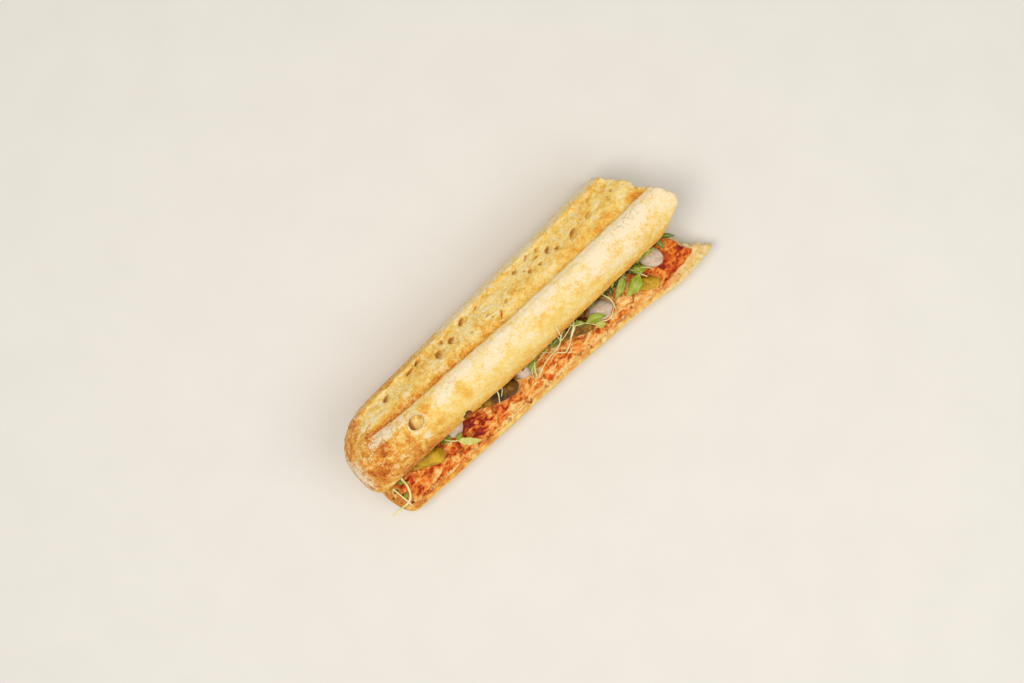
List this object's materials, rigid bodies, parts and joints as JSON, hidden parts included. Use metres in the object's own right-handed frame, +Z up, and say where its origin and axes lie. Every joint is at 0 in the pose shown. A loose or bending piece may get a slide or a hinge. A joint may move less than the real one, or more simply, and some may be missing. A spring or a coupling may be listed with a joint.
{
  "type": "filled baguette sandwich",
  "caption": "Half baguette with a round nose and a torn end, opened along its front over coarse spread, gherkins, silverskin onions and cress.",
  "frame": {"origin": "middle of the overall box, on the surface that the sandwich lies on", "axes": "+X along the loaf from its round nose to its torn end, the open mouth faces -Y and the fold is at +Y, +Z up"},
  "size_m": [0.2726, 0.09, 0.0648],
  "materials": {
    "crust": "matte, floury bread crust",
    "spread": "moist coarse meat and tomato spread",
    "gherkin": "wet, bumpy pickle skin",
    "onion": "wet, translucent onion skin",
    "cress": "fresh leaves and pale stalks"
  },
  "bodies": {
    "root": {"bread_base": "crust", "bread_lid": "crust", "spread": "spread", "gherkin_1": "gherkin", "gherkin_2": "gherkin", "gherkin_3": "gherkin", "gherkin_4": "gherkin", "gherkin_5": "gherkin", "onion_1": "onion", "onion_2": "onion", "onion_3": "onion", "onion_4": "onion", "cress": "cress"}
  },
  "joints": []
}
